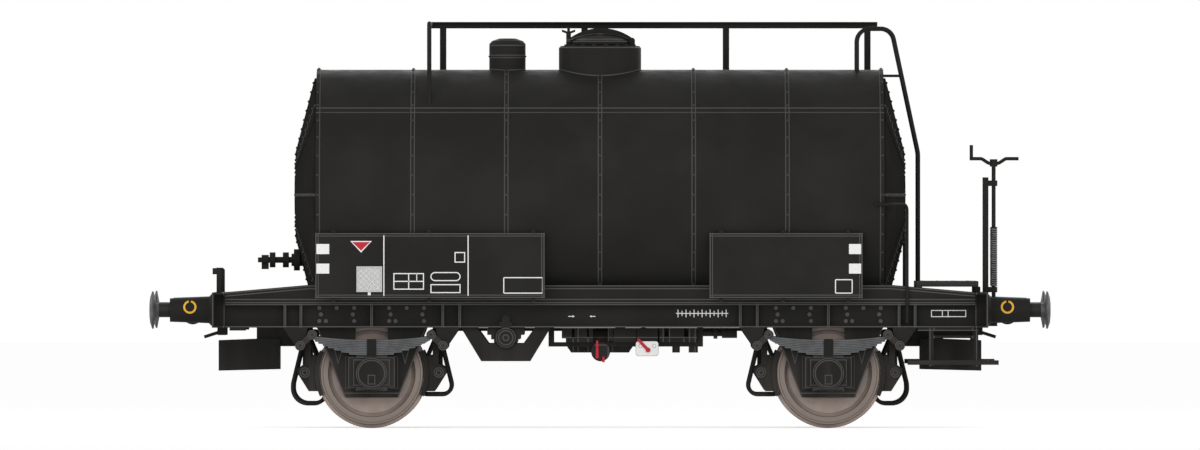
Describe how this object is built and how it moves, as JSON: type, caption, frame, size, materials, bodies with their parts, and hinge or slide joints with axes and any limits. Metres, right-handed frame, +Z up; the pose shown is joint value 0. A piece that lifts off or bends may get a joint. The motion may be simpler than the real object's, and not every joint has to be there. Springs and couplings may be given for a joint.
{
  "type": "railway tank car",
  "caption": "Four-wheeled railway tank car with an insulated cylindrical tank, domed manhole with a hinged lid, end platform with hand brake, clasp brakes and free-turning wheelsets.",
  "frame": {"origin": "under the middle of the car, level with the lowest points of the wheel flanges", "axes": "+X along the car towards the hand brake platform, +Y across it to the handrail side, +Z up"},
  "size_m": [8.88, 2.568, 4.0199],
  "materials": {
    "black_paint": "satin",
    "wheel_steel": "matte",
    "axle_steel": "satin",
    "spring_steel": "satin",
    "dark_wood": "matte",
    "white_plate": "satin",
    "red_paint": "gloss",
    "card_mesh": "satin",
    "brake_iron": "matte"
  },
  "bodies": {
    "car": {"air_reservoir": "black_paint", "axle_boxes": "brake_iron", "axle_guards": "black_paint", "block_holders": "brake_iron", "board_brackets": "black_paint", "brake_beams": "black_paint", "brake_blocks": "brake_iron", "brake_cylinder": "black_paint", "brake_hangers": "black_paint", "brake_levers": "black_paint", "brake_pipe_cocks": "black_paint", "brake_rods": "black_paint", "brake_valves": "black_paint", "buffer_housings": "black_paint", "buffer_plungers": "axle_steel", "card_holders": "card_mesh", "centre_sills": "black_paint", "changeover_plate": "white_plate", "cradle_beams": "black_paint", "cross_bearers": "black_paint", "draw_hooks": "black_paint", "end_box_hangers": "black_paint", "end_boxes": "black_paint", "end_platform": "dark_wood", "end_rail": "black_paint", "gear_carrier": "black_paint", "grab_rails": "black_paint", "handbrake_post": "black_paint", "handbrake_spindle": "axle_steel", "handrail": "black_paint", "handrail_posts": "black_paint", "headstocks": "black_paint", "heating_pipe": "black_paint", "ladder_rungs": "black_paint", "ladder_stiles": "black_paint", "lamp_irons": "black_paint", "leaf_springs": "spring_steel", "manhole_dome": "black_paint", "name_boards": "black_paint", "outlet_guards": "black_paint", "outlet_pipe": "black_paint", "platform_supports": "black_paint", "safety_loops": "black_paint", "setting_levers": "red_paint", "sole_bars": "black_paint", "spring_brackets": "black_paint", "spring_shackles": "spring_steel", "step_boards": "dark_wood", "step_hangers": "black_paint", "tank_barrel": "black_paint", "tank_ends": "black_paint", "tank_seats": "black_paint", "vent_dome": "black_paint", "walkway": "dark_wood", "walkway_brackets": "black_paint"},
    "wheelset_left": {"axle_left": "axle_steel", "wheels_left": "wheel_steel"},
    "wheelset_right": {"axle_right": "axle_steel", "wheels_right": "wheel_steel"},
    "manhole_lid": {"manhole_lid": "black_paint"}
  },
  "joints": [
    {"name": "wheelset_left_spin", "type": "hinge", "parent": "car", "child": "wheelset_left", "pos_m": [-2.25, 0, 0.54], "axis": [0, 1, 0], "continuous": true},
    {"name": "wheelset_right_spin", "type": "hinge", "parent": "car", "child": "wheelset_right", "pos_m": [2.25, 0, 0.54], "axis": [0, 1, 0], "continuous": true},
    {"name": "manhole_lid_hinge", "type": "hinge", "parent": "car", "child": "manhole_lid", "pos_m": [0.318, 0, 3.828], "axis": [0, 1, 0], "range_deg": [0, 105]}
  ]
}
